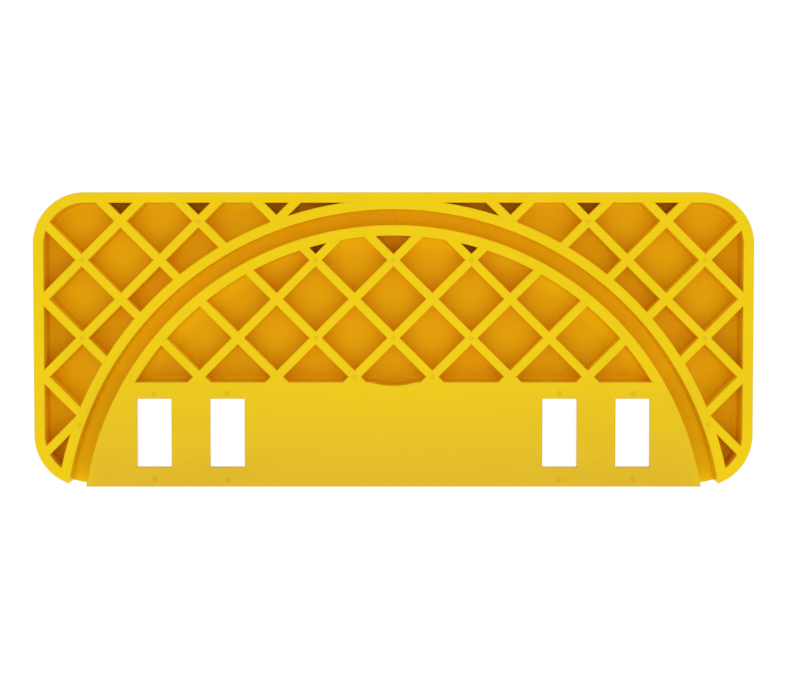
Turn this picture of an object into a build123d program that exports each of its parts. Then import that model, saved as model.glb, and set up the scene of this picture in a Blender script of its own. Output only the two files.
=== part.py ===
from build123d import *
import os
from math import atan2, cos, degrees, hypot, radians, sin, sqrt

# Uncapping frame rest: a moulded plate that sits on a bucket's rim and holds a hive frame on its end.
# It lies in its use pose, honeycomb face up. X runs along the long side, Y from the straight front edge
# to the back, and Z = 0 is the plane of the rib ends. All sizes are in millimetres.

# Driving dimensions of the plate
plate_width = 332.0
plate_depth = 136.0
plate_thickness = 20.0
corner_radius = 24.0
top_edge_radius = 2.8
deck_thickness = 3.0
skirt_thickness = 4.8

# Every wall and rib has a broken edge at its foot and a hollow root, cut in three facets, at the deck
foot_chamfer = 0.4
root_radius = 1.5
root_facets = 3

# Bucket groove: two arcs, a little wider apart at the ends than at the back
groove_outer_radius = 152.5
groove_outer_apex = 60.2
groove_outer_wall_thickness = 4.7
groove_inner_radius = 144.1
groove_inner_apex = 53.0
groove_inner_wall_thickness = 4.9

# Rib lattice: two families of ribs at 45 degrees, which leave the narrow bays beside the apex open
rib_thickness = 4.0
rib_pitch = 25.4
lattice_offset = 0.9
first_rib = -5
last_rib = 7
open_bay_half_width = 33.0

# Frame pocket and its lug slots
pocket_length = 257.0
pocket_front = -61.4
pocket_back = -24.9
pocket_corner_radius = 6.0
pocket_floor_thickness = 5.0
pocket_floor_radius = 1.8
pocket_back_wall_thickness = 5.3
pocket_lip_radius = 1.2
slot_length = 31.8
slot_width = 16.0
slot_places = (-110.6, -76.8, 76.8, 110.6)

# Relief in the pocket's back wall, below the middle cell
relief_half_width = 10.7
relief_depth = 1.6

# Blind peg hole in the front rail
peg_hole_radius = 1.2
peg_hole_depth = 9.0
peg_hole_y = -63.9

# Marks that the mould leaves: a fine ring round the gate and a sloping dimple under each ejector pin
gate_y = -36.5
gate_ring_outer_radius = 5.5
gate_ring_inner_radius = 4.7
gate_ring_depth = 0.3
pin_mark_radius = 1.55
pin_mark_floor_radius = 1.0
pin_mark_depth = 0.5
pin_rows_beside_slots = (-24.8, -64.7)
pin_crossings = ((0, 2), (-2, 2), (2, 2), (0, 0), (-2, 0), (2, 0), (-1, -1), (1, -1),
                 (-8, 2), (8, 2), (-5, 3), (5, 3), (-8, 0), (8, 0))
outer_wall_pin_angles = (20, 160)
groove_floor_pin_angles = (30, 90, 150)

# Honeycomb lines and the label panel on the top face
ridge_width = 0.8
ridge_height = 0.5
column_pitch = 12.75
row_pitch = 14.0
honeycomb_top = 62.8
honeycomb_margin = 4.0
pocket_margin = 3.0
last_column = 12
last_row = 10
label_width = 150.0
rows_above_label = 1.5
rows_to_label_foot = 4.0

# Sizes worked out from those above
deck_underside = plate_thickness - deck_thickness
shoulder = deck_underside - root_radius
root_angles = [radians(90 * facet / root_facets) for facet in range(root_facets + 1)]
root_steps = [(root_radius * (1 - cos(angle)), root_radius * sin(angle)) for angle in root_angles]
side_straight = plate_width / 2 - corner_radius
end_straight = plate_depth / 2 - corner_radius
outer_centre_y = groove_outer_apex - groove_outer_radius
outer_wall_radius = groove_outer_radius + groove_outer_wall_thickness
inner_centre_y = groove_inner_apex - groove_inner_radius
inner_wall_radius = groove_inner_radius - groove_inner_wall_thickness
groove_middle_radius = (groove_outer_radius + groove_inner_radius) / 2
groove_middle_centre_y = (outer_centre_y + inner_centre_y) / 2
outer_wall_middle_radius = (groove_outer_radius + outer_wall_radius) / 2
pocket_width = pocket_back - pocket_front
pocket_middle = (pocket_back + pocket_front) / 2
pocket_end = pocket_length / 2
floor_split = pocket_floor_thickness + pocket_floor_radius
back_wall_face = pocket_back + pocket_back_wall_thickness
crossing_step = rib_pitch / sqrt(2)
reach = plate_width


def band(low, high):
    """Strip across the whole plate from Y = low to Y = high."""
    return Pos(0, (low + high) / 2) * Rectangle(2 * reach, high - low)


def stripe(low, high):
    """Strip from front to back between X = low and X = high."""
    return Pos((low + high) / 2, 0) * Rectangle(high - low, 2 * reach)


def inset_outline(inset):
    """The plate's rounded outline, drawn in by an even margin."""
    return RectangleRounded(plate_width - 2 * inset, plate_depth - 2 * inset, corner_radius - inset)


def prism(plan, low, high):
    """Upright solid over a plan between two heights."""
    return Pos(0, 0, low) * extrude(plan, high - low)


def below_deck(plan):
    """Upright solid over a plan from the rib ends to the deck."""
    return extrude(plan, deck_underside)


def edges_at(solid, height):
    """All edges of a solid that lie in one level plane."""
    return solid.edges().filter_by_position(Axis.Z, height, height)


def flare(plan, height, direction):
    """Short widening of a hole at one of its mouths, which breaks the edge there."""
    start = Pos(0, 0, height - direction * foot_chamfer) * plan
    return extrude(start, foot_chamfer, dir=(0, 0, direction), taper=-45)


def wall_section(near, far):
    """Cross-section of a wall between two faces: broken at the foot, widened at the root."""
    far_root = [(far + out, shoulder + up) for out, up in root_steps]
    near_root = [(near - out, shoulder + up) for out, up in reversed(root_steps)]
    far_foot = [(far - foot_chamfer, 0), (far, foot_chamfer)]
    near_foot = [(near, foot_chamfer), (near + foot_chamfer, 0)]
    return Polygon(*far_foot, *far_root, *near_root, *near_foot, align=None)


def ring_wall(inner_radius, outer_radius, centre_y):
    """Round wall about an upright axis at (0, centre_y)."""
    return Pos(0, centre_y) * revolve(Plane.XZ * wall_section(inner_radius, outer_radius), Axis.Z)


def straight_wall(near, far, start_y, turn):
    """Long straight wall along X, from near to far across, turned about the upright axis at (0, start_y)."""
    section = Plane.YZ * wall_section(near, far)
    return Pos(0, start_y) * Rot(0, 0, turn) * extrude(section, reach, both=True)


def pin_marks(places):
    """Cutter for the pins' dimples in the plane of the rib ends."""
    on_plane = (Align.CENTER, Align.CENTER, Align.MIN)
    dimple = Cone(pin_mark_radius, pin_mark_floor_radius, pin_mark_depth, align=on_plane)
    return Part() + [Pos(*place) * dimple for place in places]


def along_arc(radius, centre_y, angles):
    """Places on an arc about (0, centre_y), at angles in degrees from the X axis."""
    spokes = [Vector(radius, 0).rotate(Axis.Z, angle) for angle in angles]
    return [(spoke.X, centre_y + spoke.Y) for spoke in spokes]


# The outline below the deck, and each wall as it runs before it is trimmed to its neighbours
outline_block = chamfer(edges_at(below_deck(inset_outline(0)), 0), foot_chamfer)
outer_ring = ring_wall(groove_outer_radius, outer_wall_radius, outer_centre_y)
inner_ring = ring_wall(inner_wall_radius, groove_inner_radius, inner_centre_y)
front_block = straight_wall(-reach, back_wall_face, 0, 0)
pocket_plan = Pos(0, pocket_middle) * RectangleRounded(pocket_length, pocket_width, pocket_corner_radius)
pocket_rectangle = band(pocket_front, pocket_back) & stripe(-pocket_end, pocket_end)


def moulded_deck():
    """The top plate with its rounded outer edge and the pocket's opening, which has a rounded lip."""
    deck = prism(inset_outline(0), deck_underside, plate_thickness)
    deck = fillet(edges_at(deck, plate_thickness), top_edge_radius)
    groove_pins = along_arc(groove_middle_radius, groove_middle_centre_y, groove_floor_pin_angles)
    deck -= Pos(0, 0, deck_underside) * pin_marks(groove_pins)
    deck -= prism(pocket_plan, deck_underside, plate_thickness)
    lip = [edge for edge in edges_at(deck, plate_thickness)
           if abs(edge.center().Y - pocket_middle) <= pocket_width / 2 and abs(edge.center().X) <= pocket_end]
    return fillet(lip, pocket_lip_radius)


def skirt_ring():
    """The outer wall, all the way round the outline."""
    bay = inset_outline(skirt_thickness)
    hollow = extrude(bay, shoulder) + flare(bay, 0, -1)
    for (out, up), (next_out, next_up) in zip(root_steps, root_steps[1:]):
        rise = next_up - up
        slope = degrees(atan2(next_out - out, rise))
        start = Pos(0, 0, shoulder + up) * inset_outline(skirt_thickness + out)
        hollow += extrude(start, rise, taper=slope)
    return outline_block - hollow


def relief():
    """Cutter for the shallow round relief below the middle cell."""
    left = (-relief_half_width, back_wall_face)
    right = (relief_half_width, back_wall_face)
    lowest = (0, back_wall_face - relief_depth)
    behind = (0, back_wall_face + relief_depth)
    plan = make_face([ThreePointArc(right, lowest, left), ThreePointArc(left, behind, right)])
    return below_deck(plan) + flare(plan, 0, -1)


def pocket_block():
    """The solid round the pocket, inside the groove and in front of the ribs, with all its cuts."""
    inside_groove = ring_wall(rib_thickness, groove_inner_radius, inner_centre_y)
    block = (inside_groove & front_block & outline_block) - relief()
    pocket = prism(pocket_plan, pocket_floor_thickness, deck_underside)
    block -= fillet(edges_at(pocket, pocket_floor_thickness), pocket_floor_radius)
    slot = Rectangle(slot_width, slot_length)
    slots = Sketch() + [Pos(place, pocket_middle) * slot for place in slot_places]
    block -= extrude(slots, pocket_floor_thickness)
    block -= flare(slots, 0, -1)
    block -= flare(slots, pocket_floor_thickness, 1)
    gate_ring = Pos(0, gate_y) * (Circle(gate_ring_outer_radius) - Circle(gate_ring_inner_radius))
    block -= prism(gate_ring, pocket_floor_thickness - gate_ring_depth, pocket_floor_thickness)
    return block - pin_marks([(place, row) for place in slot_places for row in pin_rows_beside_slots])


def rib_family(turn):
    """All the ribs that run one way, each as long as the plate's reach."""
    half = rib_thickness / 2
    starts = [lattice_offset + 2 * line * crossing_step for line in range(first_rib, last_rib + 1)]
    return Part() + [straight_wall(-half, half, start, turn) for start in starts]


def ribs_in(bay, walls):
    """Ribs of one bay, cut to its walls. The rising ones run through and the falling ones butt on them."""
    rising = rib_family(45)
    falling = (rib_family(-45) & below_deck(bay)) - rising
    rising &= below_deck(bay)
    for wall in walls:
        rising -= wall
        falling -= wall
    pins = pin_marks([(across * crossing_step, lattice_offset + up * crossing_step)
                      for across, up in pin_crossings])
    return Compound((rising - pins).solids() + (falling - pins).solids())


def hexagon(column, middle, grow):
    """Honeycomb cell of a column, centred on Y = middle, with its sides moved outwards by grow."""
    scale = 1 + grow / (row_pitch / 2)
    corner_x = column_pitch / 3 * scale
    corner_y = row_pitch / 2 * scale
    right = [(corner_x, -corner_y), (2 * corner_x, 0), (corner_x, corner_y)]
    left = [(-corner_x, corner_y), (-2 * corner_x, 0), (-corner_x, -corner_y)]
    return Pos(column * column_pitch, middle) * Polygon(*right, *left, align=None)


def is_drawn(corner):
    """Whether a honeycomb corner lies inside the outline's margin line and clear of the pocket."""
    past_side = max(abs(corner.X) - side_straight, 0)
    past_end = max(abs(corner.Y) - end_straight, 0)
    beside_pocket = abs(corner.X) > pocket_end + pocket_margin
    behind_pocket = abs(corner.Y - pocket_middle) > pocket_width / 2 + pocket_margin
    return hypot(past_side, past_end) <= corner_radius - honeycomb_margin and (beside_pocket or behind_pocket)


def whole_cells():
    """Column and middle of every honeycomb cell that fits whole. Odd columns sit half a row lower."""
    cells = []
    for column in range(-last_column, last_column + 1):
        for row in range(last_row):
            middle = honeycomb_top - row_pitch * (row + (1 + column % 2) / 2)
            if all(is_drawn(corner) for corner in hexagon(column, middle, 0).vertices()):
                cells.append((column, middle))
    return cells


def corner_lines():
    """Sides of the cells cut off by the back corners: one line runs on from each of the last two columns."""
    lines = Sketch()
    step = Vector(column_pitch / 3, row_pitch / 2)
    for column in (last_column - 1, last_column):
        start_x = column * column_pitch + step.X
        start_y = honeycomb_top - row_pitch * (1 - column % 2 / 2)
        middle = (start_x + step.X / 2, start_y + step.Y / 2)
        slope = step.get_angle(Vector(1, 0))
        line = Pos(*middle) * Rot(0, 0, slope) * Rectangle(step.length, ridge_width)
        lines += [line, mirror(line, Plane.YZ)]
    return lines & inset_outline(honeycomb_margin)


def honeycomb_plan():
    """Plan of the raised lines: whole cells and the lines at the back corners, but not the label panel."""
    half_line = ridge_width / 2
    cells = whole_cells()
    plan = Sketch() + [hexagon(column, middle, half_line) for column, middle in cells]
    plan -= Sketch() + [hexagon(column, middle, -half_line) for column, middle in cells]
    return plan + corner_lines() - label_plan


label_top = honeycomb_top - rows_above_label * row_pitch
label_foot = honeycomb_top - rows_to_label_foot * row_pitch
label_plan = band(label_foot, label_top) & stripe(-label_width / 2, label_width / 2)
label_inside = band(label_foot + ridge_width, label_top - ridge_width)
label_inside &= stripe(ridge_width - label_width / 2, label_width / 2 - ridge_width)

deck = moulded_deck()
skirt = skirt_ring()
block = pocket_block()
nodes = {}

# Deck, and the rail in front of the pocket, which stands full height and carries the peg hole
rail_plan = band(-reach, pocket_front) & stripe(-pocket_end, pocket_end)
rail_top = prism(rail_plan, deck_underside, plate_thickness)
peg_plan = Pos(0, peg_hole_y) * Circle(peg_hole_radius)
peg_hole = prism(peg_plan, plate_thickness - peg_hole_depth, plate_thickness)
block_walls = block - prism(pocket_rectangle, 0, floor_split)
rail_foot = block_walls & below_deck(band(-reach, pocket_front))
nodes["top_deck"] = deck - rail_top
nodes["front_rail"] = rail_foot + (deck & rail_top) - peg_hole

# Pocket: floor with the lug slots, back wall and the two end blocks
block_ends = block_walls & below_deck(band(pocket_front, pocket_back))
nodes["pocket_floor"] = block & prism(pocket_rectangle, 0, floor_split)
nodes["pocket_back_wall"] = block_walls & below_deck(band(pocket_back, reach))
nodes["pocket_left_end"] = block_ends & below_deck(stripe(-reach, 0))
nodes["pocket_right_end"] = block_ends & below_deck(stripe(0, reach))

# Groove walls, trimmed to the skirt and to the block
outer_wall_pins = along_arc(outer_wall_middle_radius, outer_centre_y, outer_wall_pin_angles)
outer_wall = (outer_ring & below_deck(inset_outline(skirt_thickness / 2))) - skirt
nodes["groove_outer_wall"] = outer_wall - pin_marks(outer_wall_pins)
nodes["groove_inner_wall"] = inner_ring - front_block

# Skirt, open where the groove runs out at the front
within_outer_wall = Pos(0, outer_centre_y) * Circle(outer_wall_middle_radius)
open_skirt = skirt - (below_deck(within_outer_wall) - outer_ring)
nodes["back_skirt"] = open_skirt & below_deck(stripe(-side_straight, side_straight))
nodes["left_skirt"] = open_skirt & below_deck(stripe(-reach, -side_straight))
nodes["right_skirt"] = open_skirt & below_deck(stripe(side_straight, reach))

# Rib lattices, which reach into the broken edges of the walls that they meet
bite = 2 * foot_chamfer
centre_bay = (Pos(0, inner_centre_y) * Circle(inner_wall_radius + bite)) & band(back_wall_face - bite, reach)
left_bay = inset_outline(skirt_thickness - bite) - Pos(0, outer_centre_y) * Circle(outer_wall_radius - bite)
left_bay &= stripe(-reach, -open_bay_half_width)
nodes["centre_ribs"] = ribs_in(centre_bay, (inner_ring, front_block))
nodes["left_ribs"] = ribs_in(left_bay, (outer_ring, skirt))
nodes["right_ribs"] = mirror(nodes["left_ribs"], Plane.YZ)

# Raised lines on the top face
ridge_top = plate_thickness + ridge_height
nodes["honeycomb_ridges"] = prism(honeycomb_plan(), plate_thickness, ridge_top)
nodes["label_border"] = prism(label_plan - label_inside, plate_thickness, ridge_top)

os.makedirs("parts", exist_ok=True)
for name, solid in nodes.items():
    export_step(solid, f"parts/{name}.step")
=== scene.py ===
import bpy
import numpy as np
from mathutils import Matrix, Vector


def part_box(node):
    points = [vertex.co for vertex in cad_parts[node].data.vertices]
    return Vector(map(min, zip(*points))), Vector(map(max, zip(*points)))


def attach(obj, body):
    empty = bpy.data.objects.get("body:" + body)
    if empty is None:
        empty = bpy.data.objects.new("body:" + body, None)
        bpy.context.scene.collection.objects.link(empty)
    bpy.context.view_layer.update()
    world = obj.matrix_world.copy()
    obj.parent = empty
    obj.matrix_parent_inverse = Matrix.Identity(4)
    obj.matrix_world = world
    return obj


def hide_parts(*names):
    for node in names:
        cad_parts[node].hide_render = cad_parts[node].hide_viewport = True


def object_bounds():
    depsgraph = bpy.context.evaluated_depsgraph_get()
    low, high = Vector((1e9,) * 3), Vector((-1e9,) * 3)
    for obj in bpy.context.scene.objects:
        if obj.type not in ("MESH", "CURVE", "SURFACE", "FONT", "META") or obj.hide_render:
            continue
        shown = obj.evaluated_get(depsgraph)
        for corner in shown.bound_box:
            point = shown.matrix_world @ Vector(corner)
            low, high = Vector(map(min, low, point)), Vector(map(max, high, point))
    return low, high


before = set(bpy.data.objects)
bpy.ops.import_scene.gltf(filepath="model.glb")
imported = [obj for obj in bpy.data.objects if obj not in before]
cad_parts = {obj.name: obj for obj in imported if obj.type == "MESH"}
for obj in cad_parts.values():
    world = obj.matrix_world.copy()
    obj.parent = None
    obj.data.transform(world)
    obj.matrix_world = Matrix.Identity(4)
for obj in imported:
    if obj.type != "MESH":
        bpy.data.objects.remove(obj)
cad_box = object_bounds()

# Top deck and its outer skirts
# The closed outer skin of the plate, yellow polypropylene shot into the mould in one go with all that is
# below it. The melt enters in the middle of the pocket, so its faint streaks run outwards from there.
mm = 0.001
deck_low, deck_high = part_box("top_deck")
deck_top = deck_high.z
deck_thickness = 3 * mm
deck_underside = deck_top - deck_thickness
deck_edge_radius = 2.8 * mm
plate_top = cad_box[1][2]
# Painted light: lit_yellow is the paler colour painted where light would get through thin walls
lit_yellow = (0.955, 0.670, 0.002, 1.0)
foot_yellow = (0.950, 0.668, 0.003, 1.0)
# Painted highlight: the paler colour halfway up the feet's bevelled edges
edge_highlight_yellow = (1.000, 0.735, 0.010, 1.0)
skirt_yellow = (0.930, 0.620, 0.002, 1.0)
# Painted shade: the deeper colour that the hollows under the deck are painted
hollow_shade_yellow = (0.888, 0.560, 0.001, 1.0)
face_yellow = (0.840, 0.545, 0.004, 1.0)


def add_node(tree, kind, inputs=None, **settings):
    """Shader node of a kind, with its settings and with a value or a socket for each named input."""
    node = tree.nodes.new("ShaderNode" + kind)
    for name, value in settings.items():
        setattr(node, name, value)
    for name, value in (inputs or {}).items():
        if isinstance(value, bpy.types.NodeSocket):
            tree.links.new(value, node.inputs[name])
        else:
            node.inputs[name].default_value = value
    return node


def math_node(tree, operation, *values):
    """Output of a Math node that works on values or sockets."""
    return add_node(tree, "Math", dict(enumerate(values)), operation=operation).outputs[0]


def vector_node(tree, operation, *values):
    """Vector output of a Vector Math node that works on vectors or sockets."""
    return add_node(tree, "VectorMath", dict(enumerate(values)), operation=operation).outputs["Vector"]


def length_node(tree, vector):
    """Length of a vector."""
    return add_node(tree, "VectorMath", {0: vector}, operation="LENGTH").outputs["Value"]


def ramp_node(tree, value, low, high):
    """Value that climbs smoothly from 0 at low to 1 at high, and falls where low is the larger."""
    limits = {"Value": value, "From Min": low, "From Max": high}
    return add_node(tree, "MapRange", limits, interpolation_type="SMOOTHSTEP").outputs["Result"]


def noise_node(tree, place, scale, detail):
    """Factor of a noise texture at a place, with a scale in waves for each unit of the place."""
    settings = {"Vector": place, "Scale": scale, "Detail": detail}
    return add_node(tree, "TexNoise", settings).outputs["Fac"]


def mix_colours(tree, factor, first, second):
    """Colour between two colours."""
    parts = {0: factor, 6: first, 7: second}
    return add_node(tree, "Mix", parts, data_type="RGBA").outputs[2]


def start_group(name, inputs, outputs):
    """Empty shader group with named sockets. Gives its tree, what comes in and what goes out."""
    tree = bpy.data.node_groups.new(name, "ShaderNodeTree")
    for socket, kind in inputs.items():
        tree.interface.new_socket(socket, in_out="INPUT", socket_type="NodeSocket" + kind)
    for socket in outputs:
        tree.interface.new_socket(socket, in_out="OUTPUT", socket_type="NodeSocketFloat")
    return tree, tree.nodes.new("NodeGroupInput").outputs, tree.nodes.new("NodeGroupOutput").inputs


gate_place = (0.0, -36.5 * mm, 5.0 * mm)
streak_fade_start = 20 * mm
streak_fade_end = 90 * mm
streak_waves_outwards = 14.0
streak_detail = 4.0
streak_limits = (0.35, 0.65)


def melt_flow_group():
    """Streaks that run outwards from the gate: noise of the direction from the gate and of the way gone.
    They start weak near the gate and reach their full strength further out."""
    tree, given, out = start_group("melt_flow", {"Place": "Vector", "Streaks": "Float"}, ["Streak"])
    from_gate = vector_node(tree, "SUBTRACT", given["Place"], gate_place)
    level = vector_node(tree, "MULTIPLY", from_gate, (1.0, 1.0, 0.0))
    way = length_node(tree, level)
    direction = vector_node(tree, "NORMALIZE", level)
    spread = add_node(tree, "VectorMath", {0: direction, "Scale": given["Streaks"]}, operation="SCALE")
    outwards = math_node(tree, "MULTIPLY", way, streak_waves_outwards)
    stretched = add_node(tree, "CombineXYZ", {"Z": outwards})
    place = vector_node(tree, "ADD", spread.outputs["Vector"], stretched.outputs["Vector"])
    streak = ramp_node(tree, noise_node(tree, place, 1.0, streak_detail), *streak_limits)
    faded = math_node(tree, "MULTIPLY", streak, ramp_node(tree, way, streak_fade_start, streak_fade_end))
    tree.links.new(faded, out["Streak"])
    return tree


skin_detail = 2.0
swell_waves = 90.0
swell_height = 3.0
swell_dullness = 0.10
grain_dullness = 0.12


def moulded_skin_group():
    """Skin that the spark-eroded mould leaves: a fine grain on a slow unevenness, and the gloss they give."""
    inputs = {"Place": "Vector", "Grain": "Float"}
    tree, given, out = start_group("moulded_skin", inputs, ["Height", "Dullness"])
    grain = noise_node(tree, given["Place"], given["Grain"], skin_detail)
    swell = noise_node(tree, given["Place"], swell_waves, skin_detail)
    tree.links.new(math_node(tree, "MULTIPLY_ADD", swell, swell_height, grain), out["Height"])
    slow = math_node(tree, "MULTIPLY", swell, swell_dullness)
    tree.links.new(math_node(tree, "MULTIPLY_ADD", grain, grain_dullness, slow), out["Dullness"])
    return tree


foot_edge = 0.45 * mm
top_edge = 0.8 * mm
pin_depth = 0.5 * mm
pin_reach = 0.1 * mm
patch_waves = 45.0
patch_detail = 3.0
patch_limits = (0.50, 0.72)
scratch_waves = 2600.0
scratch_detail = 2.0
scratch_limits = (0.52, 0.70)
scratch_stretch = (0.12, 1.0, 1.0)


def level_mask(tree, height, level, reach):
    """Value that is 1 at a level and falls evenly to 0 at the reach above and below it."""
    away = math_node(tree, "ABSOLUTE", math_node(tree, "SUBTRACT", height, level))
    near = math_node(tree, "SUBTRACT", 1.0, math_node(tree, "DIVIDE", away, reach))
    return add_node(tree, "Clamp", {"Value": near}).outputs["Result"]


def worn_faces_group():
    """The two faces that things rub on. Foot is 1 on the feet and on the floors of the ejector pins' dimples
    in them, and Top is 1 on the top face. Pin is 1 on the dimples' floors alone, which lie a little above
    the feet and face down. Edge is 1 halfway up the feet's bevelled edges: four times the feet's own mask
    times what that lacks to 1. Scuff is fine scratches in patches on both faces."""
    outputs = ["Foot", "Top", "Edge", "Scuff", "Pin"]
    tree, given, out = start_group("worn_faces", {"Place": "Vector"}, outputs)
    height = add_node(tree, "SeparateXYZ", {"Vector": given["Place"]}).outputs["Z"]
    normal = add_node(tree, "NewGeometry").outputs["Normal"]
    facing_up = add_node(tree, "SeparateXYZ", {"Vector": normal}).outputs["Z"]
    facing_down = math_node(tree, "MULTIPLY", facing_up, -1.0)
    pin = math_node(tree, "MULTIPLY", level_mask(tree, height, pin_depth, pin_reach), facing_down)
    bearing = level_mask(tree, height, 0.0, foot_edge)
    foot = math_node(tree, "MAXIMUM", bearing, pin)
    top = level_mask(tree, math_node(tree, "MINIMUM", height, deck_top), deck_top, top_edge)
    off_bearing = math_node(tree, "SUBTRACT", 1.0, bearing)
    edge = math_node(tree, "MULTIPLY", math_node(tree, "MULTIPLY", bearing, off_bearing), 4.0)
    patches = ramp_node(tree, noise_node(tree, given["Place"], patch_waves, patch_detail), *patch_limits)
    along = vector_node(tree, "MULTIPLY", given["Place"], scratch_stretch)
    scratches = ramp_node(tree, noise_node(tree, along, scratch_waves, scratch_detail), *scratch_limits)
    marked = math_node(tree, "MULTIPLY", patches, scratches)
    tree.links.new(foot, out["Foot"])
    tree.links.new(top, out["Top"])
    tree.links.new(edge, out["Edge"])
    tree.links.new(pin, out["Pin"])
    tree.links.new(math_node(tree, "MULTIPLY", math_node(tree, "ADD", foot, top), marked), out["Scuff"])
    return tree


pocket_back_y = -22 * mm
behind_pocket_y = -20 * mm
block_start_y = -8 * mm
block_end_y = -66 * mm
block_start_x = 150 * mm
block_full_x = 135 * mm
groove_radius = 148.3 * mm
groove_centre_y = -91.7 * mm
groove_half_width = 8 * mm
light_full = 2 * mm
light_reach = 9 * mm


def light_and_shade_plan_group():
    """Where painted light and shade go in plan, after where the plastic is thick or thin. Block grows over
    the thick pocket from its back to the front; the feet there are painted darker as painted shade.
    GlowNearWalls is 1 near the outer skirts and the groove, where light gets in through the walls, and falls
    to 0 with the distance from the nearest of them; it marks painted light. GlowBehindPocket is 1 at the back
    of the pocket's back wall and marks painted light there."""
    tree, given, out = start_group("light_and_shade_plan", {"Place": "Vector"}, ["Block", "GlowNearWalls", "GlowBehindPocket"])
    place = add_node(tree, "SeparateXYZ", {"Vector": given["Place"]}).outputs
    sideways = math_node(tree, "ABSOLUTE", place["X"])
    forward = {"Value": place["Y"], "From Min": block_start_y, "From Max": block_end_y}
    to_front = add_node(tree, "MapRange", forward).outputs["Result"]
    inward = ramp_node(tree, sideways, block_start_x, block_full_x)
    tree.links.new(math_node(tree, "MULTIPLY", to_front, inward), out["Block"])
    from_middle = math_node(tree, "SUBTRACT", place["Y"], groove_centre_y)
    middle_way = add_node(tree, "CombineXYZ", {"X": place["X"], "Y": from_middle}).outputs["Vector"]
    radius = length_node(tree, middle_way)
    from_rim = math_node(tree, "ABSOLUTE", math_node(tree, "SUBTRACT", radius, groove_radius))
    from_walls = math_node(tree, "SUBTRACT", from_rim, groove_half_width)
    from_back = math_node(tree, "SUBTRACT", deck_high.y, place["Y"])
    from_side = math_node(tree, "SUBTRACT", deck_high.x, sideways)
    nearest = math_node(tree, "MINIMUM", from_walls, math_node(tree, "MINIMUM", from_back, from_side))
    tree.links.new(ramp_node(tree, nearest, light_reach, light_full), out["GlowNearWalls"])
    tree.links.new(ramp_node(tree, place["Y"], pocket_back_y, behind_pocket_y), out["GlowBehindPocket"])
    return tree


def height_colours(tree, place, stops):
    """Colour that changes with the height over the feet, from one stop of height and colour to the next."""
    heights, colours = zip(*stops)
    shares = [height / plate_top for height in heights]
    level = add_node(tree, "SeparateXYZ", {"Vector": place}).outputs["Z"]
    node = add_node(tree, "ValToRGB", {"Fac": math_node(tree, "DIVIDE", level, plate_top)})
    elements = node.color_ramp.elements
    elements[1].position = shares[-1]
    elements[0].position = shares[0]
    for share in shares[1:-1]:
        elements.new(share)
    for element, colour in zip(elements, colours):
        element.color = colour
    return node.outputs["Color"]


def place_group(tree, group, place, **values):
    """Outputs of a shader group in a material, at a place, with a value for each of its other inputs."""
    node = add_node(tree, "Group", node_tree=group)
    tree.links.new(place, node.inputs["Place"])
    for name, value in values.items():
        node.inputs[name].default_value = value
    return node.outputs


def shaded_colour(tree, colour, shade):
    """Colour times a value."""
    grey = add_node(tree, "CombineColor", {"Red": shade, "Green": shade, "Blue": shade})
    return vector_node(tree, "MULTIPLY", colour, grey.outputs["Color"])


# Painted shade: colours for the feet over the block and for the pins' dimple floors
block_shade_yellow = (0.795, 0.512, 0.003, 1.0)
pin_shade_yellow = (0.860, 0.590, 0.006, 1.0)
scuffed_yellow = (0.930, 0.700, 0.060, 1.0)
pin_painted_shade = 0.12
streaks_round = 7.0
streak_depth = 0.03
scuff_strength = 0.35
scuff_roughness = 0.6
skin_roughness = 0.27
skin_specular = 0.03
foot_polish = 0.05
face_polish = 0.20
face_falloff = 4.0
edge_polish = 0.70
polish_roughness = 0.25
grain_waves = 2200.0
grain_height = 0.03 * mm
grain_strength = 0.5
melt_flow = melt_flow_group()
moulded_skin = moulded_skin_group()
worn_faces = worn_faces_group()
light_and_shade_plan = light_and_shade_plan_group()


def polish(tree, wear, block):
    """Gloss of the rubbed faces: least on the feet, more on the top face and the block, most on the edges."""
    rubbed_foot = math_node(tree, "MULTIPLY", wear["Foot"], foot_polish)
    smooth_face = math_node(tree, "ADD", math_node(tree, "POWER", wear["Top"], face_falloff), block)
    rubbed_face = math_node(tree, "MULTIPLY_ADD", smooth_face, face_polish, rubbed_foot)
    return math_node(tree, "MULTIPLY_ADD", wear["Edge"], edge_polish, rubbed_face)


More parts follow.
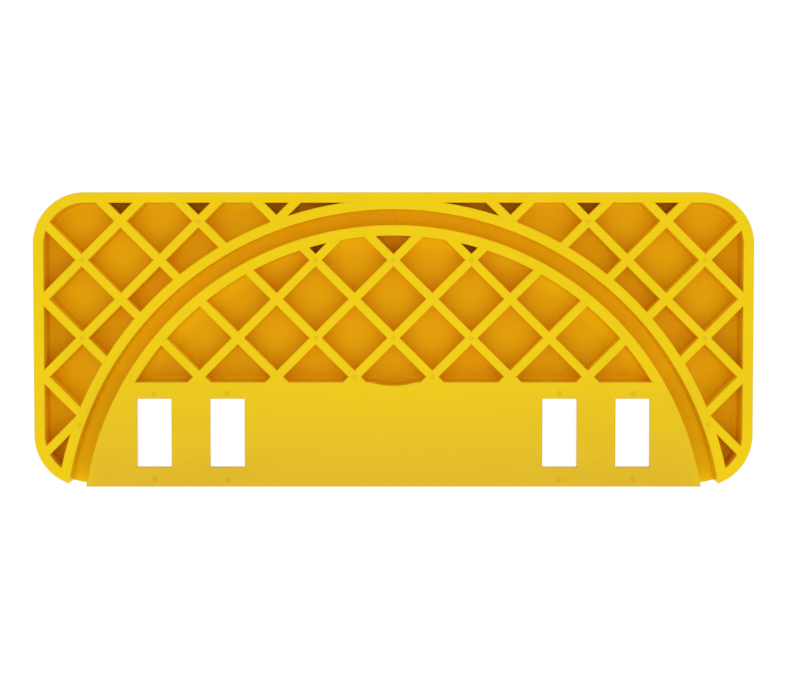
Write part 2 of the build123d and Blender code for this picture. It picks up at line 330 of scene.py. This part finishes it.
def yellow_plastic(name, stops, lit_part, lit_colour):
    """Moulded yellow plastic whose colour follows the height: thin rib ends are painted paler as painted
    light, where light would get through, and the deep hollows deeper as painted shade. The lit part of the
    plan gets another colour as painted light, and the feet over the thick block are darker as painted shade.
    The pins' dimples have their own colour, darker as painted shade and darkest over the thick block. It has
    faint flow streaks and a fine grain, its faces are scuffed and a little glossy, and the feet's edges are
    polished most."""
    material = bpy.data.materials.new(name)
    material.use_nodes = True
    tree = material.node_tree
    shader = tree.nodes["Principled BSDF"]
    shader.inputs["Specular IOR Level"].default_value = skin_specular
    shader.inputs["Coat Roughness"].default_value = polish_roughness
    place = add_node(tree, "TexCoord").outputs["Object"]
    flow = place_group(tree, melt_flow, place, Streaks=streaks_round)
    skin = place_group(tree, moulded_skin, place, Grain=grain_waves)
    wear = place_group(tree, worn_faces, place)
    plan = place_group(tree, light_and_shade_plan, place)
    block = math_node(tree, "MULTIPLY", wear["Foot"], plan["Block"])
    # Painted light: in the plan's lit part the faces other than feet and top get the paler lit colour.
    inside = math_node(tree, "SUBTRACT", math_node(tree, "SUBTRACT", 1.0, wear["Foot"]), wear["Top"])
    lit = math_node(tree, "MULTIPLY", inside, plan[lit_part])
    lit_plastic = mix_colours(tree, lit, height_colours(tree, place, stops), lit_colour)
    # Painted shade: the pins' dimple floors are painted darker than the feet.
    marked_plastic = mix_colours(tree, wear["Pin"], lit_plastic, pin_shade_yellow)
    # Painted shade: the feet over the thick block are painted darker, more so towards the front.
    coloured_plastic = mix_colours(tree, block, marked_plastic, block_shade_yellow)
    # Painted shade: over the block the dimple floors are darkened further.
    shaded_pins = math_node(tree, "MULTIPLY", wear["Pin"], plan["Block"])
    pin_shade = math_node(tree, "MULTIPLY_ADD", shaded_pins, -pin_painted_shade, 1.0)
    shade = math_node(tree, "MULTIPLY_ADD", flow["Streak"], -streak_depth, pin_shade)
    shaded = shaded_colour(tree, coloured_plastic, shade)
    scuff = math_node(tree, "MULTIPLY", wear["Scuff"], scuff_strength)
    tree.links.new(mix_colours(tree, scuff, shaded, scuffed_yellow), shader.inputs["Base Color"])
    dull = math_node(tree, "ADD", skin["Dullness"], skin_roughness)
    tree.links.new(math_node(tree, "MULTIPLY_ADD", scuff, scuff_roughness, dull), shader.inputs["Roughness"])
    tree.links.new(polish(tree, wear, block), shader.inputs["Coat Weight"])
    relief = {"Height": skin["Height"], "Distance": grain_height, "Strength": grain_strength}
    tree.links.new(add_node(tree, "Bump", relief).outputs["Normal"], shader.inputs["Normal"])
    return material


def finish_nodes(material, *names):
    """Gives CAD nodes their material."""
    for name in names:
        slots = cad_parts[name].data.materials
        slots.clear()
        slots.append(material)


# Painted shade: in the cells the deck's underside is painted deeper than its rounded edge and top face.
deck_stops = [(deck_underside, hollow_shade_yellow), (deck_top - deck_edge_radius, skirt_yellow),
              (deck_top, face_yellow)]
# Painted highlight: halfway up their bevelled edges the feet are painted paler.
foot_stops = [(0.0, foot_yellow), (foot_edge / 2, edge_highlight_yellow)]
skirt_stops = [*foot_stops, (foot_edge, skirt_yellow), (deck_top, skirt_yellow)]
skirt_plastic = yellow_plastic("skirt_plastic", skirt_stops, "GlowNearWalls", skirt_yellow)
finish_nodes(yellow_plastic("deck_plastic", deck_stops, "GlowNearWalls", lit_yellow), "top_deck")
finish_nodes(skirt_plastic, "back_skirt", "left_skirt", "right_skirt")

# Bucket groove
# Two round walls that stand on the underside of the deck and straddle the bucket's rim.
# They are moulded with it, in the same plastic, and their feet are rubbed glossy by the bench. Their
# bevelled edges are painted paler as a painted highlight, and the walls are painted paler near the feet as
# painted light and deeper up in the hollows as painted shade.
pale_wall_height = 3 * mm
deep_wall_height = 14 * mm
wall_glow_yellow = (0.965, 0.700, 0.003, 1.0)
wall_stops = [*foot_stops, (foot_edge, wall_glow_yellow), (pale_wall_height, wall_glow_yellow),
              (deep_wall_height, hollow_shade_yellow)]
wall_plastic = yellow_plastic("wall_plastic", wall_stops, "GlowNearWalls", lit_yellow)
finish_nodes(wall_plastic, "groove_outer_wall", "groove_inner_wall")

# Rib lattices
# Crossed ribs that stiffen the deck from below, in one bay inside the groove and one at each end. They are
# moulded with it, and the mould's ejector pins push on their crossings and leave small dimples there.
# Same plastic as the groove walls: painted paler near the feet as painted light and deeper in the cells as
# painted shade.
finish_nodes(wall_plastic, "centre_ribs", "left_ribs", "right_ribs")

# Frame pocket and the rail in front of it
# A long tray with a slotted floor, which takes the end of a hive frame. Its walls, floor and rail are part of
# the same moulding, but thicker than the ribs, so less light gets into them and they look deeper in colour;
# in the pocket this deeper colour is painted shade. The back face of the pocket's back wall is painted paler
# as painted light.
pocket_shade_yellow = (0.815, 0.515, 0.004, 1.0)
pocket_stops = [*foot_stops, (foot_edge, pocket_shade_yellow), (deck_top - top_edge, pocket_shade_yellow),
                (deck_top, face_yellow)]
rail_stops = [*foot_stops, (foot_edge, skirt_yellow), (deck_top - top_edge, skirt_yellow),
              (deck_top, face_yellow)]
# Painted shade and light: the pocket is painted deeper, its feet over the block darker towards the front, and
# the back of its back wall paler.
pocket_plastic = yellow_plastic("pocket_plastic", pocket_stops, "GlowBehindPocket", lit_yellow)
finish_nodes(pocket_plastic, "pocket_floor", "pocket_back_wall", "pocket_left_end", "pocket_right_end")
finish_nodes(yellow_plastic("rail_plastic", rail_stops, "GlowNearWalls", skirt_yellow), "front_rail")

# Gate scar
# The round patch in the middle of the pocket floor where the sprue was cut off: paler than the rest, a little
# crowned and rough, inside the ring that the mould's bush leaves. That ring is painted brown as painted
# shade.
scar_radius = 4.6 * mm
scar_crown = 0.10 * mm
scar_roughness = 0.05 * mm
scar_root = 0.28 * mm
ring_start = 4.75 * mm
ring_end = 5.45 * mm
ring_depth = 0.24 * mm
rim_start = 3.7 * mm
rim_full = 4.2 * mm
scar_rings = 24
scar_spokes = 72
broad_wave = (1900, 900)
slanting_wave = (-1300, 2600)
slanting_wave_shift = 1.0
fine_wave = (5200, 4700)
fine_wave_shift = 2.0
fine_wave_share = 0.7
wave_count = 3
scar_yellow = (0.88, 0.64, 0.12, 1.0)
scar_blotch = (0.73, 0.51, 0.04, 1.0)
scar_rim_yellow = (0.95, 0.69, 0.12, 1.0)
ring_shade_brown = (0.72, 0.45, 0.004, 1.0)
blotch_waves = 420.0
blotch_detail = 3.0
blotch_limits = (0.42, 0.62)
blotch_gloss = 0.15
cut_roughness = 0.55
cut_specular = 0.12
cut_grain_waves = 3000.0
cut_grain_height = 0.06 * mm
cut_grain_strength = 0.8


def make_piece(name, points, faces, smooth, material):
    """Object at the origin from arrays of points and of faces, with one material, fixed to the plate."""
    mesh = bpy.data.meshes.new(name)
    mesh.from_pydata(points.tolist(), [], [face.tolist() for face in faces])
    mesh.polygons.foreach_set("use_smooth", smooth)
    mesh.materials.append(material)
    piece = bpy.data.objects.new(name, mesh)
    bpy.context.scene.collection.objects.link(piece)
    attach(piece, "root")
    return piece


def scar_surface():
    """Points, faces and which of them are smooth. Height over the floor is a crown that falls with the
    square of the radius, plus waves of three sizes that die out at the rim. Outside the rim the surface
    drops to the bottom of the bush's ring. A flat disc below the floor closes it."""
    patch = np.linspace(0.0, scar_radius, scar_rings + 1)[1:]
    radius = np.append(patch, [ring_start, ring_end])[:, None]
    turn = np.linspace(0.0, 2 * np.pi, scar_spokes, endpoint=False)[None, :]
    across = radius * np.cos(turn)
    along = radius * np.sin(turn)
    share = np.minimum(radius / scar_radius, 1)
    waves = np.sin(broad_wave[0] * across + broad_wave[1] * along)
    waves += np.sin(slanting_wave[0] * across + slanting_wave[1] * along + slanting_wave_shift)
    fine = np.sin(fine_wave[0] * across + fine_wave_shift) * np.sin(fine_wave[1] * along)
    waves += fine_wave_share * fine
    height = scar_crown * (1 - share ** 2) + scar_roughness * waves * (1 - share ** 4) / wave_count
    height[scar_rings:] = -ring_depth
    top = np.stack([across, along, height], axis=-1).reshape(-1, 3)
    last = len(top)
    rim = top[-scar_spokes:] * (1.0, 1.0, 0.0) - (0.0, 0.0, scar_root)
    points = np.vstack([top, rim, [[0.0, 0.0, scar_crown]], [[0.0, 0.0, -scar_root]]]) + gate_place
    spoke = np.arange(scar_spokes)
    following = (spoke + 1) % scar_spokes
    rows = np.arange(0, last, scar_spokes)[:, None]
    quads = np.stack([rows + spoke, rows + scar_spokes + spoke,
                      rows + scar_spokes + following, rows + following], axis=-1).reshape(-1, 4)
    crown_point = len(points) - 2
    root_point = len(points) - 1
    lid = np.stack([np.full(scar_spokes, crown_point), spoke, following], axis=-1)
    base = np.stack([np.full(scar_spokes, root_point), last + following, last + spoke], axis=-1)
    counts = [len(quads) - scar_spokes, scar_spokes, len(lid), len(base)]
    on_top = np.repeat([True, False, True, False], counts)
    return points, [*quads, *lid, *base], on_top


def scar_plastic():
    """Cut plastic: pale, blotched where the sprue tore, palest round its rim, and duller than the moulded
    skin. The ring outside the rim is painted brown as painted shade in the groove."""
    material = bpy.data.materials.new("scar_plastic")
    material.use_nodes = True
    tree = material.node_tree
    shader = tree.nodes["Principled BSDF"]
    shader.inputs["Specular IOR Level"].default_value = cut_specular
    place = add_node(tree, "TexCoord").outputs["Object"]
    blotch = ramp_node(tree, noise_node(tree, place, blotch_waves, blotch_detail), *blotch_limits)
    radius = length_node(tree, vector_node(tree, "SUBTRACT", place, gate_place))
    patch = mix_colours(tree, blotch, scar_yellow, scar_blotch)
    rimmed = mix_colours(tree, ramp_node(tree, radius, rim_start, rim_full), patch, scar_rim_yellow)
    # Painted shade: the bush's ring is painted brown.
    ringed = mix_colours(tree, ramp_node(tree, radius, scar_radius, ring_start), rimmed, ring_shade_brown)
    tree.links.new(ringed, shader.inputs["Base Color"])
    dull = math_node(tree, "MULTIPLY_ADD", blotch, -blotch_gloss, cut_roughness)
    tree.links.new(dull, shader.inputs["Roughness"])
    skin = place_group(tree, moulded_skin, place, Grain=cut_grain_waves)
    relief = {"Height": skin["Height"], "Distance": cut_grain_height, "Strength": cut_grain_strength}
    tree.links.new(add_node(tree, "Bump", relief).outputs["Normal"], shader.inputs["Normal"])
    return material


make_piece("gate_scar", *scar_surface(), scar_plastic())

# Honeycomb ridges
# Fine raised lines on the top face, from grooves cut into the mould with a round-nosed cutter, so their
# section is rounded. They stop at the label panel, at the pocket and short of the plate's edge.
column_pitch = 12.75 * mm
row_pitch = 14.0 * mm
honeycomb_top = 62.8 * mm
last_column = 12
last_row = 10
margin_radius = 20.0 * mm
corner_centre = np.array([142.0, 44.0]) * mm
clear_of_pocket = np.array([131.5, 21.25]) * mm
pocket_middle = np.array([0.0, -43.15]) * mm
ridge_width = 0.9 * mm
ridge_height = 0.5 * mm
ridge_steps = 10
# Painted highlight on the ridges' crests and painted shade at their roots
ridge_crest_highlight_yellow = (0.985, 0.735, 0.045, 1.0)
ridge_root_shade_yellow = (0.780, 0.490, 0.003, 1.0)
label_low, label_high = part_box("label_border")
border_half_width = 0.4 * mm
border_low = np.array(label_low[:2]) + border_half_width
border_high = np.array(label_high[:2]) - border_half_width
shortest_line = 0.05 * mm
straight_limit = 0.001 * mm
# Steps to the millimetre in which sides, ends of lines and points are compared
side_steps = 100
end_steps = 50
point_steps = 2000


def honeycomb_lines():
    """Start and end points of every side of a whole honeycomb cell, each side once. Cells stand in columns,
    every second one half a row lower, and a cell is whole where all its corners lie inside the margin and
    clear of the pocket."""
    column, row = np.meshgrid(np.arange(-last_column, last_column + 1), np.arange(last_row), indexing="ij")
    middle_y = honeycomb_top - row_pitch * (row + (1 + column % 2) / 2)
    middle = np.stack([column * column_pitch, middle_y], axis=-1)
    corner_x = np.array([1, 2, 1, -1, -2, -1]) * column_pitch / 3
    corner_y = np.array([-1, 0, 1, 1, 0, -1]) * row_pitch / 2
    cells = middle.reshape(-1, 1, 2) + np.stack([corner_x, corner_y], axis=-1)
    past_corner = np.maximum(np.abs(cells) - corner_centre, 0)
    inside = np.hypot(past_corner[..., 0], past_corner[..., 1]) <= margin_radius
    from_pocket = np.abs(cells - pocket_middle) > clear_of_pocket
    cells = cells[(inside & from_pocket.any(axis=-1)).all(axis=1)]
    sides = np.stack([cells, np.roll(cells, -1, axis=1)], axis=2).reshape(-1, 2, 2)
    keys = np.round(sides / mm * side_steps).astype(int)
    step = keys[:, 1] - keys[:, 0]
    backwards = (step[:, 0] < 0) | ((step[:, 0] == 0) & (step[:, 1] < 0))
    sides[backwards] = sides[backwards][:, ::-1]
    keys[backwards] = keys[backwards][:, ::-1]
    kept = np.unique(keys.reshape(-1, 4), axis=0, return_index=True)[1]
    return sides[kept]


def corner_stubs():
    """The two lines that run on from the last columns at each back corner, cut off at the margin's arc. The
    share that is kept is the larger root of the square equation for a line's points at the arc's radius."""
    step = np.array([column_pitch / 3, row_pitch / 2])
    column = np.array([last_column - 1, last_column])
    start_y = honeycomb_top - row_pitch * (1 - column % 2 / 2)
    start = np.stack([column * column_pitch + step[0], start_y], axis=-1)
    offset = start - corner_centre
    reach = step @ step
    turn = offset @ step
    rest = (offset ** 2).sum(axis=-1) - margin_radius ** 2
    share = np.minimum((np.sqrt(turn ** 2 - reach * rest) - turn) / reach, 1)
    right = np.stack([start, start + share[:, None] * step], axis=1)
    return np.concatenate([right, right * (-1, 1)])


def outside_label(lines):
    """The parts of lines that lie outside the label border's middle line. A line enters the panel where it is
    first between the border's lines both ways, across and along, and leaves it where it is last so. A line
    that stays level one way is between those lines for its whole length or not at all."""
    start = lines[:, 0]
    run = lines[:, 1] - start
    still = np.abs(run) < straight_limit
    safe_run = np.where(still, 1, run)
    first = (border_low - start) / safe_run
    second = (border_high - start) / safe_run
    between = (start > border_low) & (start < border_high)
    enter = np.where(still, np.where(between, 0, 2), np.minimum(first, second)).max(axis=1).clip(0, 1)
    leave = np.where(still, np.where(between, 1, -2), np.maximum(first, second)).min(axis=1).clip(0, 1)
    misses = enter >= leave
    enter[misses] = 1
    leave[misses] = 1
    before = np.stack([start, start + enter[:, None] * run], axis=1)
    after = np.stack([start + leave[:, None] * run, lines[:, 1]], axis=1)
    pieces = np.concatenate([before, after])
    return pieces[np.hypot(*(pieces[:, 1] - pieces[:, 0]).T) > shortest_line]


def gaps_at_ends(ends, bearing):
    """Angles to the next line on the left and on the right at each end of a line, and which ends are alone.
    The ends are sorted by the point in which they meet and then by bearing, so the next line on the left
    follows in that order, and after the last one comes the first."""
    keys = np.round(ends / mm * end_steps).astype(int)
    meeting = np.unique(keys, axis=0, return_inverse=True)[1].ravel()
    order = np.lexsort([bearing, meeting])
    sorted_meeting = meeting[order]
    first = np.searchsorted(sorted_meeting, np.arange(meeting.max() + 1))
    size = np.bincount(meeting)
    place = np.arange(len(ends)) - first[sorted_meeting]
    following = order[first[sorted_meeting] + (place + 1) % size[sorted_meeting]]
    gap_left = np.empty(len(ends))
    gap_left[order] = (bearing[following] - bearing[order]) % (2 * np.pi)
    gap_right = np.empty(len(ends))
    gap_right[following] = gap_left[order]
    return gap_left, gap_right, size[meeting] == 1


def ridge_surface(lines):
    """Points, faces and which of them are smooth, for rounded ridges along straight lines on the deck. The
    section is half a wave of a cosine, from the deck to the ridge's height and back. Where lines meet, each
    ridge is cut back along the line that halves the angle to the next one, so a section point at u across
    lies u / tan(half the angle) along. A lone end is closed by a flat face."""
    count = len(lines)
    ends = np.concatenate([lines[:, 0], lines[:, 1]])
    run = lines[:, 1] - lines[:, 0]
    away = np.concatenate([run, -run])
    away /= np.hypot(*away.T)[:, None]
    gap_left, gap_right, lone = gaps_at_ends(ends, np.arctan2(away[:, 1], away[:, 0]))
    share = np.linspace(-1, 1, ridge_steps + 1)
    across = np.append(share, 0.0) * ridge_width / 2
    up = np.append(np.cos(np.pi / 2 * share).clip(0), 0.0) * ridge_height
    gap = np.where(across > 0, gap_left[:, None], gap_right[:, None])
    back = np.where(lone[:, None], 0.0, np.abs(across) / np.tan(np.where(lone[:, None], 1.0, gap / 2)))
    left = np.stack([-away[:, 1], away[:, 0]], axis=-1)
    level = ends[:, None] + away[:, None] * back[..., None] + left[:, None] * across[:, None]
    height = np.broadcast_to(deck_top + up, level.shape[:2])
    points = np.concatenate([level, height[..., None]], axis=-1).reshape(-1, 3)
    loop = ridge_steps + 2
    here = np.arange(loop)
    nearby = (here + 1) % loop
    start = loop * np.arange(count)[:, None]
    far = start + loop * count
    mirrored = np.append(np.arange(ridge_steps, -1, -1), ridge_steps + 1)
    quads = np.stack([start + here, far + mirrored[here], far + mirrored[nearby], start + nearby], axis=-1)
    caps = loop * np.nonzero(lone)[0][:, None] + here
    keys = np.round(points / mm * point_steps).astype(int)
    merged, index = np.unique(keys, axis=0, return_inverse=True)
    index = index.ravel()
    shared = np.zeros((len(merged), 3))
    shared[index] = points
    on_top = np.concatenate([np.tile(here < ridge_steps, count), np.zeros(len(caps), dtype=bool)])
    return shared, [*index[quads.reshape(-1, 4)], *index[caps]], on_top


# Painted shade and highlight: the ridges are painted darker at the root and paler at the crest.
ridge_stops = [(deck_top, ridge_root_shade_yellow), (deck_top + ridge_height / 3, face_yellow),
               (deck_top + ridge_height, ridge_crest_highlight_yellow)]
ridge_plastic = yellow_plastic("ridge_plastic", ridge_stops, "GlowNearWalls", face_yellow)
honeycomb = np.concatenate([honeycomb_lines(), corner_stubs()])
ridges = make_piece("honeycomb_lines", *ridge_surface(outside_label(honeycomb)), ridge_plastic)
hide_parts("honeycomb_ridges")

# Label border
# A single raised line round the blank panel behind the pocket, in the same plastic as the deck and cut into
# the mould with the same cutter as the honeycomb. The panel inside it is left plain.
border_x = np.array([border_low[0], border_high[0], border_high[0], border_low[0]])
border_y = np.array([border_low[1], border_low[1], border_high[1], border_high[1]])
border_corners = np.stack([border_x, border_y], axis=-1)
border_lines = np.stack([border_corners, np.roll(border_corners, -1, axis=0)], axis=1)
border = make_piece("label_line", *ridge_surface(border_lines), ridge_plastic)
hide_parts("label_border")

# Floor and background
# A white studio floor that shows from above with the plate's shadow and fades into the white background.
# From below it is clear, because the photographed side of the plate is the one that lies on it.
floor_radius = 3.0
floor_drop = 0.1 * mm
floor_sides = 96
floor_white = (0.86, 0.86, 0.85, 1.0)
floor_roughness = 0.9
floor_specular = 0.0
fade_start = 0.25
fade_end = 0.9
full_white = (1.0, 1.0, 1.0, 1.0)
around = np.linspace(0.0, 2 * np.pi, floor_sides, endpoint=False)
floor_points = np.stack([floor_radius * np.cos(around), floor_radius * np.sin(around),
                         np.full(floor_sides, -floor_drop)], axis=-1)
floor_mesh = bpy.data.meshes.new("studio_floor")
floor_mesh.from_pydata(floor_points.tolist(), [], [list(range(floor_sides))])
studio_floor = bpy.data.objects.new("studio_floor", floor_mesh)
bpy.context.scene.collection.objects.link(studio_floor)
for ray in ("diffuse", "glossy", "transmission", "shadow"):
    setattr(studio_floor, "visible_" + ray, False)


def floor_paint():
    """Dull white paint that fades to pure white light with the distance and is clear from below."""
    material = bpy.data.materials.new("floor_paint")
    material.use_nodes = True
    tree = material.node_tree
    shader = tree.nodes["Principled BSDF"]
    shader.inputs["Base Color"].default_value = floor_white
    shader.inputs["Roughness"].default_value = floor_roughness
    shader.inputs["Specular IOR Level"].default_value = floor_specular
    way = length_node(tree, add_node(tree, "TexCoord").outputs["Object"])
    bright = add_node(tree, "Emission", {"Color": full_white, "Strength": 1.0})
    faded = add_node(tree, "MixShader", {0: ramp_node(tree, way, fade_start, fade_end)})
    tree.links.new(shader.outputs[0], faded.inputs[1])
    tree.links.new(bright.outputs[0], faded.inputs[2])
    clear = add_node(tree, "BsdfTransparent")
    from_below = add_node(tree, "NewGeometry").outputs["Backfacing"]
    sided = add_node(tree, "MixShader", {0: from_below})
    tree.links.new(faded.outputs[0], sided.inputs[1])
    tree.links.new(clear.outputs[0], sided.inputs[2])
    tree.links.new(sided.outputs[0], tree.nodes["Material Output"].inputs["Surface"])
    return material


floor_mesh.materials.append(floor_paint())

# Light
# A white light tent with an even glow, which the camera and reflections see as full white, and two large
# soft lamps over and under the plate, a little to its front. Light bounces often between the cells' walls.
tent_glow = 0.72
lamp_width = 1.1
lamp_power = 4.9
lamp_over_place = (-0.25, -0.50, 1.30)
lamp_under_place = (0.0, -0.30, -1.35)
wall_bounces = 12
tent = bpy.data.worlds.new("light_tent")
tent.use_nodes = True
tent_tree = tent.node_tree
ray_path = add_node(tent_tree, "LightPath").outputs
mirrored_ray = math_node(tent_tree, "MAXIMUM", ray_path["Is Glossy Ray"], ray_path["Is Transmission Ray"])
seen = math_node(tent_tree, "MAXIMUM", ray_path["Is Camera Ray"], mirrored_ray)
strength = math_node(tent_tree, "MULTIPLY_ADD", seen, 1.0 - tent_glow, tent_glow)
glow = tent_tree.nodes["Background"]
glow.inputs["Color"].default_value = full_white
tent_tree.links.new(strength, glow.inputs["Strength"])
bpy.context.scene.world = tent
bpy.context.scene.cycles.diffuse_bounces = wall_bounces


def soft_lamp(name, place):
    """Large square lamp that points at the plate."""
    lamp = bpy.data.lights.new(name, "AREA")
    lamp.size = lamp_width
    lamp.energy = lamp_power
    holder = bpy.data.objects.new(name, lamp)
    holder.location = place
    holder.rotation_euler = (-Vector(place)).to_track_quat("-Z", "Y").to_euler()
    bpy.context.scene.collection.objects.link(holder)


soft_lamp("lamp_over", lamp_over_place)
soft_lamp("lamp_under", lamp_under_place)

# Camera
# Square on to the ribbed underside, as in the photograph, with the curved groove's back at the top of the
# picture and the lens moved a little that way.
picture_width = 787
plate_pixels = 720
camera_distance = 1.0
camera_lean = np.radians(3.0)
plate_width = deck_high.x - deck_low.x
camera = bpy.data.cameras.new("camera")
camera.lens = camera.sensor_width * camera_distance / (plate_width * picture_width / plate_pixels)
viewer = bpy.data.objects.new("camera", camera)
viewer.location = (0.0, camera_distance * np.sin(camera_lean), -camera_distance * np.cos(camera_lean))
viewer.rotation_euler = (-viewer.location).to_track_quat("-Z", "Y").to_euler()
bpy.context.scene.collection.objects.link(viewer)
bpy.context.scene.camera = viewer
bpy.context.scene.view_settings.view_transform = "Standard"
